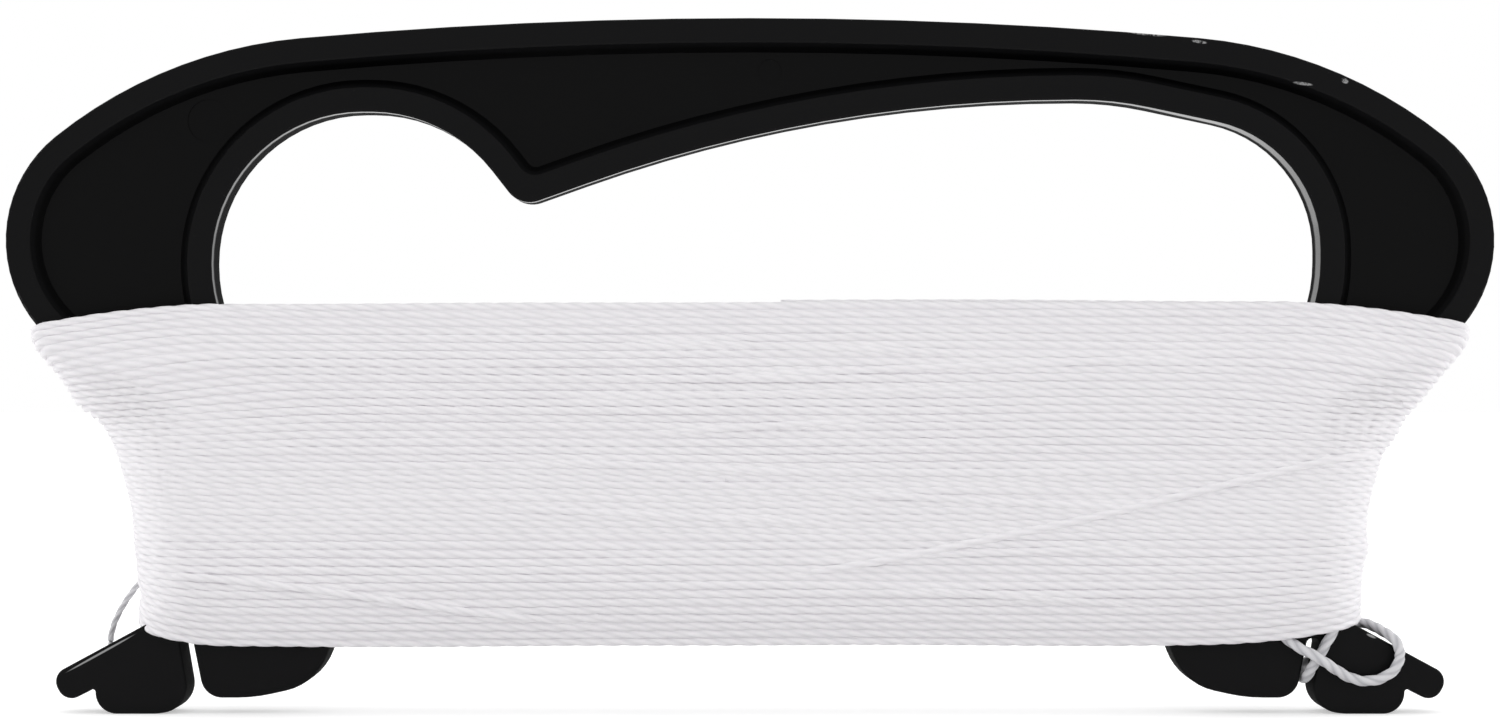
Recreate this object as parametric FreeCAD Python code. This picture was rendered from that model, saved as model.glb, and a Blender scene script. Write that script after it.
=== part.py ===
import FreeCAD, Part
import math
import os

# Kite line winder: a D-shaped moulded board with kite line wound round its waist.
# Millimetres, X to the right, Y away from the viewer, Z up. The part stands on its
# two outer foot lobes, and the origin is midway between them, at their soles.

V = FreeCAD.Vector

# Board, overall
board_length = 260.0
board_height = 121.5
board_thickness = 8.0
web_thickness = 3.2
rim_width = 4.2
rim_step_run = 1.6
web_tip_radius = 3.2
edge_round = 0.45

# Outline of the D, right half (the left half mirrors it)
widest_drop = 38.8
crown_radius = 885.0
shoulder_radius = 79.7
end_radius = 23.2
flank_angle = 46.0
waist_inset = 26.7
waist_radius = 29.0
neck_height = 16.8
neck_radius = 4.0
widest_height = board_height - widest_drop
waist_half_length = board_length / 2 - waist_inset

# Hook arm, which slopes down and out from the neck
arm_angle = 28.4
arm_width = 5.5
arm_length = 17.9
arm_tip_radius = 2.5
notch_radius = 0.6

# Foot lobes and the line-keeper slot between them
outer_lobe_overhang = 11.0
outer_lobe_width = 16.7
outer_lobe_out_radius = 4.4
outer_lobe_in_radius = 4.6
sole_inset = 6.0
sole_rise = 0.8
sole_blend_radius = 9.0
slot_width = 2.35
slot_top_height = 13.2
slot_end_radius = 1.1
slot_lean = 2.1
inner_lobe_width = 22.9
inner_lobe_height = 2.8
inner_lobe_corner_radius = 3.8
inner_lobe_slope_run = 8.7
inner_lobe_slope_radius = 28.0
inner_lobe_knee_inset = 3.3
inner_lobe_knee_height = 5.2
inner_lobe_knee_radius = 10.0
belly_height = 14.2
belly_radius = 2.0

# Grip hole: walls of the board round it, then the spur between the fingers
hole_left_wall = 36.0
hole_right_wall = 30.4
hole_floor_height = 52.0
hole_floor_radius = 27.0
hump_bar = 16.4
hump_width = 40.9
hump_radius = 26.9
spur_back_angle = 52.0
spur_front_angle = 19.6
spur_radius = 4.7
grip_bar = 14.3
ramp_depth = 15.5
ramp_run = 22.2
ramp_radius = 256.0
hole_turn_run = 36.1
hole_turn_angle = 12.0
hole_turn_radius = 61.0
hole_end_radius = 22.8
hole_left_x = hole_left_wall - board_length / 2
hole_right_x = board_length / 2 - hole_right_wall

# Ejector marks on the front of the web: distance from the left end, drop below the crown, radius
ejector_marks = ((35.2, 17.8, 3.8), (133.5, 9.1, 2.1))
ejector_mark_depth = 0.2

# Wound line
line_diameter = 1.25
line_gap = 0.3
board_gap = 0.3
wound_build = 4.4
wound_corner = 1.5
loop_count = 24
wound_low_drop = 1.1
wound_low_sag = 3.4
wound_high_drop = 15.8
wound_high_rise = 4.8
low_bow_share = 0.3
high_bow_share = 0.4
least_bow = 0.15
low_build = 2.4
low_build_run = 17.0
high_build_run = 10.0
face_low_build = 1.6
face_low_build_run = 12.0
face_high_build = 0.9
face_high_build_run = 11.0
core_high_drop = 2.7
core_steps = 30
wound_low_corner = neck_height - wound_low_drop
wound_low_middle = wound_low_corner - wound_low_sag
wound_high_corner = widest_height - wound_high_drop
wound_high_middle = wound_high_corner + wound_high_rise

# Free line at the right end: it is slack there, and so fatter than the wound line
slack_diameter = 1.7
end_loop_route = (
    (100.6, -5.4, 13.0), (99.6, -5.4, 11.2), (98.4, -5.4, 9.4), (97.5, -5.2, 7.6), (97.1, -3.4, 6.2),
    (97.1, 0.2, 5.9), (97.2, 3.9, 6.2), (98.3, 5.7, 7.6), (100.9, 5.8, 9.7), (103.7, 5.8, 11.6),
    (106.3, 5.7, 13.7), (108.2, 4.6, 15.4), (109.8, 1.6, 14.95), (111.2, -1.8, 14.1), (112.5, -4.9, 13.1),
    (113.2, -5.8, 10.8), (112.5, -5.9, 8.2), (110.0, -5.8, 6.3), (106.8, -5.8, 5.8), (103.9, -5.9, 6.6),
    (101.3, -6.5, 8.3), (98.7, -7.6, 10.0), (96.6, -7.5, 11.2), (94.7, -6.8, 12.0))

# Free line at the left end
tail_diameter = 1.1
start_tail_route = (
    (-107.6, 6.5, 23.5), (-109.6, 5.9, 21.0), (-111.4, 5.4, 18.3), (-112.8, 5.0, 15.5), (-113.6, 4.85, 12.6),
    (-113.4, 4.85, 9.7), (-111.7, 4.85, 7.1), (-108.9, 4.85, 5.6), (-105.8, 4.9, 5.7), (-103.2, 5.1, 7.4),
    (-101.9, 5.5, 10.2), (-101.4, 5.9, 13.3))

# Modelling
route_arc_share = 0.45
corner_room_share = 0.99
face_tolerance = 1e-4


def flat(x, z):
    """Point of the board's mid-plane."""
    return V(x, 0, z)


def arc_near(corner, start, end):
    """Edge of the arc that leaves one side of a corner at start and joins the other at end."""
    middle = (start + end) * 0.5
    leg = start.distanceToPoint(corner)
    reach = corner.distanceToPoint(middle)
    half_opening = math.acos(min(1.0, reach / leg))
    radius = leg * math.tan(half_opening)
    towards = (middle - corner).normalize()
    via = corner + towards * (math.hypot(leg, radius) - radius)
    return Part.Arc(start, via, end).toShape()


def rounded_edges(corners, closed=False):
    """Straight sides with tangent arcs at their corners; each corner is (point, radius).

    An open chain keeps its first and last points. Where two arcs ask for more than
    the side between them has, both shrink to fit it."""
    count = len(corners)
    points = [point for point, radius in corners]
    legs = [0.0] * count
    for i in range(count) if closed else range(1, count - 1):
        before = points[i] - points[i - 1]
        after = points[(i + 1) % count] - points[i]
        legs[i] = corners[i][1] * math.tan(before.getAngle(after) / 2)
    shrink = [1.0] * count
    sides = [(i, (i + 1) % count) for i in range(count if closed else count - 1)]
    for i, j in sides:
        room = corner_room_share * points[i].distanceToPoint(points[j])
        if legs[i] + legs[j] > room:
            fit = room / (legs[i] + legs[j])
            shrink[i] = min(shrink[i], fit)
            shrink[j] = min(shrink[j], fit)
    legs = [leg * fit for leg, fit in zip(legs, shrink)]
    edges = []
    for i, j in sides:
        along = (points[j] - points[i]).normalize()
        start = points[i] + along * legs[i]
        end = points[j] - along * legs[j]
        edges.append(Part.LineSegment(start, end).toShape())
        if legs[j] > 0:
            onward = (points[(j + 1) % count] - points[j]).normalize()
            edges.append(arc_near(points[j], end, points[j] + onward * legs[j]))
    return edges


def mirrored(edges):
    """The same chain on the other side of the YZ plane, in reverse order."""
    return [edge.mirror(V(0, 0, 0), V(1, 0, 0)) for edge in reversed(edges)]


def closed_wire(edges):
    return Part.Wire(Part.__sortEdges__(edges))


def slab(wire, thickness):
    """Plate of the wire's outline, centred on the board's mid-plane."""
    face = Part.Face(wire)
    face.translate(V(0, -thickness / 2, 0))
    return face.extrude(V(0, thickness, 0))


def crown_edges():
    """Crown, shoulder and end arcs of the right half, tangent to each other, down to the flank."""
    crown_centre = flat(0, board_height - crown_radius)
    end_centre = flat(board_length / 2 - end_radius, widest_height)
    apart = end_centre - crown_centre
    unit = V(apart).normalize()
    from_crown = crown_radius - shoulder_radius
    from_end = shoulder_radius - end_radius
    along = (from_crown ** 2 - from_end ** 2 + apart.Length ** 2) / (2 * apart.Length)
    across = math.sqrt(from_crown ** 2 - along ** 2)
    shoulder_centre = crown_centre + unit * along + V(-unit.z, 0, unit.x) * across
    crown_end = crown_centre + (shoulder_centre - crown_centre).normalize() * crown_radius
    shoulder_end = shoulder_centre + (end_centre - shoulder_centre).normalize() * shoulder_radius
    flank = math.radians(flank_angle)
    end_end = end_centre + flat(math.cos(flank), -math.sin(flank)) * end_radius
    spans = ((crown_centre, crown_radius, flat(0, board_height), crown_end),
             (shoulder_centre, shoulder_radius, crown_end, shoulder_end),
             (end_centre, end_radius, shoulder_end, end_end))
    edges = []
    for centre, radius, start, end in spans:
        outward = ((start + end) * 0.5 - centre).normalize()
        edges.append(Part.Arc(start, centre + outward * radius, end).toShape())
    return edges, end_end


def neck_corners():
    """Flank end, waist corner and neck corner of the right half, as (point, radius)."""
    flank_start = crown_edges()[1]
    drop = (flank_start.x - waist_half_length) / math.tan(math.radians(flank_angle))
    waist_corner = flat(waist_half_length, flank_start.z - drop)
    neck = flat(waist_half_length, neck_height)
    return [(flank_start, 0), (waist_corner, waist_radius), (neck, neck_radius)]


def arm_corners():
    """Two corners of the arm's blunt tip, then the notch where its underside meets the lobe."""
    angle = math.radians(arm_angle)
    along = flat(math.cos(angle), -math.sin(angle))
    inward = flat(-math.sin(angle), -math.cos(angle))
    run = (arm_length - arm_tip_radius - inward.x * arm_tip_radius) / along.x
    upper = flat(waist_half_length, neck_height) + along * (run + arm_tip_radius)
    lower = upper + inward * arm_width
    lobe_x = waist_half_length + outer_lobe_overhang
    notch = flat(lobe_x, lower.z + (lower.x - lobe_x) * math.tan(angle))
    return [(upper, arm_tip_radius), (lower, arm_tip_radius), (notch, notch_radius)]


def foot_corners():
    """Outer lobe, keeper slot, inner lobe and belly of the right half."""
    lobe_x = waist_half_length + outer_lobe_overhang
    slot_out_x = lobe_x - outer_lobe_width
    slot_in_x = slot_out_x - slot_width
    inner_side_x = slot_in_x - inner_lobe_width
    return [
        (flat(lobe_x, 0), outer_lobe_out_radius),
        (flat(slot_out_x + sole_inset, 0), sole_blend_radius),
        (flat(slot_out_x, sole_rise), outer_lobe_in_radius),
        (flat(slot_out_x + slot_lean, slot_top_height), slot_end_radius),
        (flat(slot_in_x + slot_lean, slot_top_height), slot_end_radius),
        (flat(slot_in_x, inner_lobe_height), inner_lobe_corner_radius),
        (flat(slot_in_x - inner_lobe_slope_run, inner_lobe_height), inner_lobe_slope_radius),
        (flat(inner_side_x + inner_lobe_knee_inset, inner_lobe_knee_height), inner_lobe_knee_radius),
        (flat(inner_side_x, belly_height), belly_radius),
        (flat(0, belly_height), 0)]


def board_wire():
    """Whole outline of the board."""
    half = crown_edges()[0] + rounded_edges(neck_corners() + arm_corners() + foot_corners())
    return closed_wire(half + mirrored(half))


def waisted_wire(floor_height):
    """The D and its waist alone, closed by a level floor above the feet."""
    corners = neck_corners()
    foot = [(flat(waist_half_length, floor_height), neck_radius), (flat(0, floor_height), 0)]
    half = crown_edges()[0] + rounded_edges(corners[:2] + foot)
    return closed_wire(half + mirrored(half))


def hole_wire():
    """Grip hole: thumb hump, spur between the fingers, long ramp and rounded end."""
    back = math.radians(spur_back_angle)
    front = math.radians(spur_front_angle)
    turn = math.radians(hole_turn_angle)
    hump_z = board_height - hump_bar
    top_z = board_height - grip_bar
    spur_back = flat(hole_left_x + hump_width, hump_z)
    ramp_end = flat(spur_back.x + ramp_run + ramp_depth / math.tan(front), top_z)
    fall = ramp_end.z - spur_back.z
    spur_run = (ramp_end.x - spur_back.x) * math.tan(front) - fall
    spur = spur_back + flat(1, -math.tan(back)) * (spur_run / (math.tan(front) + math.tan(back)))
    turn_x = hole_right_x - hole_turn_run
    corners = [
        (flat(hole_left_x, hole_floor_height), hole_floor_radius),
        (flat(hole_left_x, hump_z), hump_radius),
        (spur_back, hump_radius),
        (spur, spur_radius),
        (ramp_end, ramp_radius),
        (flat(turn_x, top_z), hole_turn_radius),
        (flat(hole_right_x, top_z - hole_turn_run * math.tan(turn)), hole_end_radius),
        (flat(hole_right_x, hole_floor_height), hole_floor_radius)]
    return closed_wire(rounded_edges(corners, closed=True))


def tapered(wire, near_y, far_y, far_offset):
    """Solid between a wire at one depth and the same wire, moved in or out, at another."""
    near = wire.copy()
    near.translate(V(0, near_y, 0))
    far = wire.makeOffset2D(far_offset)
    far.translate(V(0, far_y, 0))
    return Part.makeLoft([near, far], True, True)


def rim_pocket(side):
    """Recess of one face, down to the web: side is -1 for the front and 1 for the back."""
    outside = waisted_wire(neck_height).makeOffset2D(-rim_width)
    inside = hole_wire().makeOffset2D(rim_width + web_tip_radius).makeOffset2D(-web_tip_radius)
    face_y = side * board_thickness / 2
    web_y = side * web_thickness / 2
    pocket = tapered(outside, face_y, web_y, -rim_step_run)
    island = tapered(inside, face_y, web_y, rim_step_run)
    return pocket.cut(island)


def face_outline_edges(solid):
    """Edges that bound the board's flat front and back faces."""
    level = board_thickness / 2
    boxes = [(edge, edge.BoundBox) for edge in solid.Edges]
    return [edge for edge, box in boxes
            if abs(abs(box.YMin) - level) < face_tolerance and box.YMax - box.YMin < face_tolerance]


def winder_frame():
    """The moulding: rims at full thickness, a thin web between them, solid feet and hooks."""
    board = slab(board_wire(), board_thickness).cut(slab(hole_wire(), 2 * board_thickness))
    for side in (-1, 1):
        board = board.cut(rim_pocket(side))
    board = board.makeFillet(edge_round, face_outline_edges(board))
    for from_end, drop, radius in ejector_marks:
        centre = V(from_end - board_length / 2, ejector_mark_depth - web_thickness / 2, board_height - drop)
        board = board.cut(Part.makeCylinder(radius, board_thickness, centre, V(0, -1, 0)))
    return board


def board_half_length(z):
    """Where the board's edge stands at height z, between the widest point and the arm."""
    flank_start, waist_corner = (point for point, radius in neck_corners()[:2])
    turn = math.radians(flank_angle)
    leg = waist_radius * math.tan(turn / 2)
    arc_low = waist_corner.z - leg
    arc_high = waist_corner.z + leg * math.cos(turn)
    if z > flank_start.z:
        centre_x = board_length / 2 - end_radius
        return centre_x + math.sqrt(max(0.0, end_radius ** 2 - (z - widest_height) ** 2))
    if z > arc_high:
        return waist_corner.x + (z - waist_corner.z) * math.tan(turn)
    if z > arc_low:
        return waist_half_length + waist_radius - math.sqrt(waist_radius ** 2 - (z - arc_low) ** 2)
    return waist_half_length


def eased(distance, run):
    """0 at the start of a run and 1 from its end on, with a soft landing."""
    return math.sin(math.pi / 2 * min(1.0, max(0.0, distance / run)))


def end_build(z):
    """Thickness of the wound layers outside the board's edge at height z."""
    low = low_build + (wound_build - low_build) * eased(z - wound_low_corner, low_build_run)
    high = wound_build * eased(wound_high_corner - z, high_build_run)
    return min(low, high)


def face_build(z):
    """Thickness of the wound layers on the board's face at height z."""
    low = face_low_build + (wound_build - face_low_build) * eased(z - wound_low_middle, face_low_build_run)
    high = face_high_build + (wound_build - face_high_build) * eased(wound_high_middle - z, face_high_build_run)
    return min(low, high)


def end_lean(z):
    """How much longer a level step is than the square distance to the sloping end of the winding."""
    step = 0.5
    upper = board_half_length(z + step) + end_build(z + step)
    lower = board_half_length(z - step) + end_build(z - step)
    return math.hypot(1.0, (upper - lower) / (2 * step))


def wound_size(z, outset):
    """Half length, half depth and corner length of the winding's plan at height z, moved outset out."""
    level_outset = outset * end_lean(z)
    half_length = board_half_length(z) + end_build(z) + level_outset
    half_depth = board_thickness / 2 + face_build(z) + outset
    corner = end_build(z) + wound_corner + outset
    return half_length, half_depth, corner


def biarc(start, start_way, end, end_way):
    """Two arcs that join two points along given unit directions, with no kink between them."""
    span = end - start
    ways = start_way + end_way
    spread = 2 * (1 - start_way.dot(end_way))
    reach = (math.sqrt(span.dot(ways) ** 2 + spread * span.dot(span)) - span.dot(ways)) / spread
    first = start + start_way * reach
    second = end - end_way * reach
    joint = (first + second) * 0.5
    return [arc_near(first, start, joint), arc_near(second, joint, end)]


def core_section(z):
    """Level outline of the inner layers at height z: two straight faces and two rounded ends."""
    half_length, half_depth, corner = wound_size(z, 0.0)
    flat_end = half_length - corner
    ways = {"right": V(1, 0, 0), "left": V(-1, 0, 0), "back": V(0, 1, 0), "front": V(0, -1, 0)}
    front_left, front_right = V(-flat_end, -half_depth, z), V(flat_end, -half_depth, z)
    back_left, back_right = V(-flat_end, half_depth, z), V(flat_end, half_depth, z)
    right_tip, left_tip = V(half_length, 0, z), V(-half_length, 0, z)
    edges = [Part.LineSegment(front_left, front_right).toShape()]
    edges += biarc(front_right, ways["right"], right_tip, ways["back"])
    edges += biarc(right_tip, ways["back"], back_right, ways["left"])
    edges.append(Part.LineSegment(back_right, back_left).toShape())
    edges += biarc(back_left, ways["left"], left_tip, ways["front"])
    edges += biarc(left_tip, ways["front"], front_left, ways["right"])
    return Part.Wire(edges)


def core_side_wire():
    """Outline of the inner layers seen from the front, bowed at the top and the bottom."""
    reach = board_length / 2
    radius = line_diameter / 2
    low_end = wound_low_corner - radius
    high_end = wound_high_corner - core_high_drop
    corners = [flat(-reach, low_end), flat(reach, low_end), flat(reach, high_end), flat(-reach, high_end)]
    low = Part.Arc(corners[0], flat(0, wound_low_middle - radius), corners[1]).toShape()
    high = Part.Arc(corners[2], flat(0, wound_high_middle + radius), corners[3]).toShape()
    sides = [Part.LineSegment(corners[1], corners[2]).toShape(),
             Part.LineSegment(corners[3], corners[0]).toShape()]
    return Part.Wire([low, sides[0], high, sides[1]])


def board_keep_out():
    """Space of the board and its clearance, with the feet and the hole filled in."""
    reach = board_length / 2
    arm_far = flat(reach, neck_height - waist_inset * math.tan(math.radians(arm_angle)))
    floor = [(arm_far, 0), (flat(reach, 0), 0), (flat(0, 0), 0)]
    half = crown_edges()[0] + rounded_edges(neck_corners() + floor)
    outline = closed_wire(half + mirrored(half)).makeOffset2D(board_gap)
    return slab(outline, board_thickness + 2 * board_gap)


def line_core():
    """Inner layers of wound line: a sleeve round the board, open above and below."""
    low = wound_low_middle - line_diameter
    high = wound_high_middle + line_diameter
    sections = [core_section(low + (high - low) * step / core_steps) for step in range(core_steps + 1)]
    body = Part.makeLoft(sections, True, True)
    body = body.common(slab(core_side_wire(), board_length))
    return body.cut(board_keep_out())


def run_heights(run):
    """Heights of one straight run of the outer layer at its corners and at its middle."""
    share = (run + 0.5) / (2 * loop_count)
    corner = wound_low_corner + (wound_high_corner - wound_low_corner) * share
    low_bow = (wound_low_middle - wound_low_corner) * max(0.0, 1 - share / low_bow_share)
    high_bow = (wound_high_middle - wound_high_corner) * max(0.0, 1 - (1 - share) / high_bow_share)
    return corner, corner + low_bow + high_bow


def run_edge(run, outset):
    """One run across the front or the back face, bowed up or down, with its end directions."""
    corner_z, middle_z = run_heights(run)
    side = -1 if run % 2 == 0 else 1
    half_length, corner_depth, corner = wound_size(corner_z, outset)
    middle_depth = wound_size(middle_z, outset)[1]
    reach = half_length - corner
    start = V(side * reach, side * corner_depth, corner_z)
    end = V(-side * reach, side * corner_depth, corner_z)
    if abs(middle_z - corner_z) < least_bow:
        way = (end - start).normalize()
        return Part.LineSegment(start, end).toShape(), way, way
    edge = Part.Arc(start, V(0, side * middle_depth, middle_z), end).toShape()
    start_way = edge.tangentAt(edge.FirstParameter)
    end_way = edge.tangentAt(edge.LastParameter)
    return edge, start_way, end_way


def outer_turn_path(outset):
    """Centre line of the outer layer, from the lowest run up to the highest."""
    runs = [run_edge(run, outset) for run in range(2 * loop_count)]
    edges = []
    for run, (edge, start_way, end_way) in enumerate(runs):
        start, end = edge.valueAt(edge.FirstParameter), edge.valueAt(edge.LastParameter)
        if run == 0:
            edges.append(Part.LineSegment(start - start_way * line_diameter, start).toShape())
        edges.append(edge)
        if run + 1 == len(runs):
            edges.append(Part.LineSegment(end, end + end_way * line_diameter).toShape())
            break
        onward, onward_way = runs[run + 1][:2]
        onward_start = onward.valueAt(onward.FirstParameter)
        tip_z = (end.z + onward_start.z) / 2
        tip_side = 1 if end.x > 0 else -1
        tip = V(tip_side * wound_size(tip_z, outset)[0], 0, tip_z)
        tip_way = V(0, onward_start.y - end.y, onward_start.z - end.z).normalize()
        edges += biarc(end, end_way, tip, tip_way)
        edges += biarc(tip, tip_way, onward_start, onward_way)
    return edges


def swept(edges, diameter):
    """Round tube along a chain of tangent edges."""
    path = Part.Wire(edges)
    first = edges[0]
    start = first.valueAt(first.FirstParameter)
    way = first.tangentAt(first.FirstParameter)
    ring = Part.Wire(Part.Circle(start, way, diameter / 2).toShape())
    pipe = Part.BRepOffsetAPI.MakePipeShell(path)
    pipe.add(ring)
    pipe.build()
    pipe.makeSolid()
    tube = pipe.shape()
    exact = math.pi * diameter ** 2 / 4 * path.Length
    print("tube length %.1f, volume %.1f, section times length %.1f" % (path.Length, tube.Volume, exact))
    return tube


def least_gap(edges, diameter, spacing=1.5):
    """Least clear distance of a wound tube to itself, measured on points of its centre line."""
    points = []
    travelled = []
    distance = 0.0
    for edge in edges:
        steps = max(2, int(edge.Length / spacing))
        for step in range(steps):
            share = edge.FirstParameter + (edge.LastParameter - edge.FirstParameter) * step / steps
            points.append(edge.valueAt(share))
            travelled.append(distance + edge.Length * step / steps)
        distance += edge.Length
    cell = 4 * spacing
    cells = {}
    for index, point in enumerate(points):
        key = (int(point.x // cell), int(point.y // cell), int(point.z // cell))
        cells.setdefault(key, []).append(index)
    least = cell
    for (x, y, z), members in cells.items():
        near = [index for dx in (-1, 0, 1) for dy in (-1, 0, 1) for dz in (-1, 0, 1)
                for index in cells.get((x + dx, y + dy, z + dz), ())]
        for i in members:
            for j in near:
                if travelled[j] - travelled[i] > 10 * diameter:
                    least = min(least, points[i].distanceToPoint(points[j]))
    return least - diameter


def line_outer_turns():
    """Outer layer of turns: one unbroken tube that climbs the winding."""
    edges = outer_turn_path(line_gap + line_diameter / 2)
    print("outer turns: least gap to itself %.2f" % least_gap(edges, line_diameter))
    return swept(edges, line_diameter)


def free_line(route, diameter):
    """Slack line along its route: straight runs joined by tangent arcs."""
    points = [V(*point) for point in route]
    edges = []
    radii = []
    start = points[0]
    for i in range(1, len(points) - 1):
        before, after = points[i] - points[i - 1], points[i + 1] - points[i]
        leg = route_arc_share * min(before.Length, after.Length)
        radii.append(leg / math.tan(before.getAngle(after) / 2))
        arc_start = points[i] - V(before).normalize() * leg
        arc_end = points[i] + V(after).normalize() * leg
        edges.append(Part.LineSegment(start, arc_start).toShape())
        edges.append(arc_near(points[i], arc_start, arc_end))
        start = arc_end
    edges.append(Part.LineSegment(start, points[-1]).toShape())
    print("route radii", " ".join("%.1f" % radius for radius in radii))
    return swept(edges, diameter)


parts = {
    "winder_frame": winder_frame(),
    "line_core": line_core(),
    "line_outer_turns": line_outer_turns(),
    "line_end_loop": free_line(end_loop_route, slack_diameter),
    "line_start_tail": free_line(start_tail_route, tail_diameter),
}
os.makedirs("parts", exist_ok=True)
for name, shape in parts.items():
    shape.exportStep("parts/%s.step" % name)
    box = shape.optimalBoundingBox()
    print("%s: %d solid, volume %.0f, valid %s, x %.1f %.1f, y %.2f %.2f, z %.2f %.2f" % (
        name, len(shape.Solids), shape.Volume, shape.isValid(),
        box.XMin, box.XMax, box.YMin, box.YMax, box.ZMin, box.ZMax))
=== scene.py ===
"""Kite line winder: the looks of the part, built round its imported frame.

X runs to the right along the board, Y away from the viewer, Z up; sizes are in millimetres until
they reach a mesh, a light or the camera, where MM makes them metres.
"""
import math

import bmesh
import bpy
import numpy as np
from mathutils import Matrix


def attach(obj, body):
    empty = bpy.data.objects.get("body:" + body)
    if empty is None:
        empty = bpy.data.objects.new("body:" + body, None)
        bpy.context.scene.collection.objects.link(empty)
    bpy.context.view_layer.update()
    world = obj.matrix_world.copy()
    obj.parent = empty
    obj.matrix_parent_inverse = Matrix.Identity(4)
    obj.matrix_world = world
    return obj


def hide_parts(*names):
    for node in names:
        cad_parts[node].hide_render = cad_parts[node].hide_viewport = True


MM = 0.001
SEED = 11

# Camera that took the photograph, level and square to the board
VIEW_WIDTH = 261.75
VIEW_CENTRE_Z = 61.25
CAMERA_DISTANCE = 500.0
SENSOR_WIDTH = 36.0

# Board, as in the source
BOARD_THICKNESS = 8.0
BOARD_GAP = 0.35

# Wound line: its size, the length of one twist, and its plies with the grooves between them, as a share of
# the radius and how sharply they are cut
LINE_DIAMETER = 1.46
LINE_LAY = 12.0
PLIES = 3
GROOVE_DEPTH, GROOVE_POWER = 0.25, 0.8
# How many times wider than deep the wound line is pressed by its neighbours
PRESSED_WIDTH = 1.12
# How far outside the strands' centre lines the layers below show between them
GROOVE_FLOOR = 0.2
# How unevenly the wound line is twisted: turns gained or lost along one face, as a standard deviation
TWIST_SLIP = 0.35
# Turns that are begun, and where the line starts and ends among them
TURNS = 46
FIRST_TURN, LAST_TURN = 0.62, 45.62
# Unevenness on the faces: two waves (height, length), how far the first one drifts from run to run, and how
# far a strand stands out, over which length; it fades out from a distance along the board, over a run
SWAY = ((0.1, 118.0), (0.06, 61.0))
SWAY_DRIFT = 0.55
LIFT, LIFT_RUN = 0.08, 173.0
HALF_RUN, FADE_FROM, FADE_RUN = 105.0, 98.0, 12.0
# Heights of the lowest and the highest strand, at the ends and in the middle
LOW_CORNER, LOW_MIDDLE = 16.1, 12.2
HIGH_CORNER, HIGH_MIDDLE = 66.5, 71.7
# Their bow: the share of the layer that bows with them, how far in from the left and the right end it
# reaches, and how suddenly it ends
LOW_BOW_SHARE, HIGH_BOW_SHARE = 0.3, 0.45
LOW_BOW_RUNS, HIGH_BOW_RUN = (19.0, 34.0), 36.0
LOW_BOW_POWER, HIGH_BOW_POWER = 3, 1.5
# How far the strands' centre lines are from the board's faces: in the middle, and at the bottom and the top
# of the winding with the height over which they come closer
FACE_BUILD = 5.0
FACE_LOW_BUILD, FACE_LOW_RUN = 2.2, 12.0
FACE_HIGH_BUILD, FACE_HIGH_RUN = 1.5, 11.0
# Centre line of the outer strands at the ends: height, then half length
END_PROFILE = ((11.0, 106.7), (16.0, 106.8), (22.0, 106.9), (30.0, 107.7), (36.0, 108.2), (41.0, 109.5),
               (46.0, 111.0), (50.0, 113.0), (54.0, 116.7), (60.0, 121.3), (64.5, 124.4), (68.0, 125.0),
               (73.0, 125.4))
# Bulges of the ends: side, height, half height, how far out
END_BULGES = ((1, 49.0, 2.2, 1.0), (-1, 54.6, 2.0, 0.9), (1, 28.6, 1.8, 0.6), (-1, 20.5, 1.5, -0.4))
# Half length of the straight faces below the flare, how far the rounded end reaches in at the flare's top,
# the height over which one becomes the other, and how square the ends are, low and at the flare
FACE_END, WRAP_RUN_TOP = 98.2, 2.6
FLARE_RUN = 15.0
WRAP_POWER, WRAP_POWER_TOP = 1.7, 3.0
# Share of a strand's half length that is on the face
FACE_SHARE = 0.93

# Sampling of the strands
RUN_LENGTH, RUN_STEP = 216.0, 1.2
RUN_STEPS = int(RUN_LENGTH / RUN_STEP)
WRAP_STEPS = 20
SECTION_POINTS = 15
STRANDS_PIECES = 4
# How deep the outer line's two ends dive, and over how much of a turn
END_SINK, END_SINK_TURN = 1.3, 0.16

# Strands that cross the outer layer on the front, as points (x, z), and how far their centre line
# stands out from the layer's own
CROSSINGS = (
    (((109.0, 46.6), (96.0, 43.6), (80.3, 39.8), (55.0, 33.7), (37.5, 30.1), (24.4, 27.4), (10.5, 25.2),
      (-4.0, 23.6)), 0.42),
    (((-103.0, 24.7), (-93.4, 24.1), (-78.5, 22.5), (-47.1, 18.1), (-20.0, 15.5)), 0.44),
)
# Shallower ones, strewn over both faces: how many on a face, and their ranges of length, fall and stand-out
STREWN_CROSSINGS = 9
STREWN_LENGTH, STREWN_FALL, STREWN_OUT = (60.0, 115.0), (2.2, 5.5), (0.12, 0.3)
# Their lowest and highest places, from the layer's own, how far they stray from even heights, and how far
# along the board they reach
STREWN_LOW, STREWN_HIGH, STREWN_STRAY, STREWN_REACH = 6.0, 1.0, 2.5, 92.0
STREWN_POINTS = 5
# How deep a crossing's ends sink, and over which run
CROSSING_SINK, CROSSING_SINK_RUN = 0.75, 26.0
# How many times shorter that run is at an end of a crossing that lies beyond the face
CROSSING_END_HASTE = 4.0
# How far a crossing's x would go beyond the face in one whole turn
CROSSING_WRAP = 90.0
CROSSING_STEP = 0.4

# Inner layers: samples of a face and of an end, rows for each strand, how far they stop short of the outer
# layer, as shares of its height, at bottom and top and further at the ends' top, their least wall and ridges
SLEEVE_FACE_STEPS, SLEEVE_WRAP_STEPS, SLEEVE_ROWS = 60, 16, 5
SLEEVE_INSET, SLEEVE_END_INSET = 0.012, 0.075
SLEEVE_WALL, SLEEVE_RIDGE = 0.15, 0.25
SLEEVE_UV_STEP = 3.6

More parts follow.
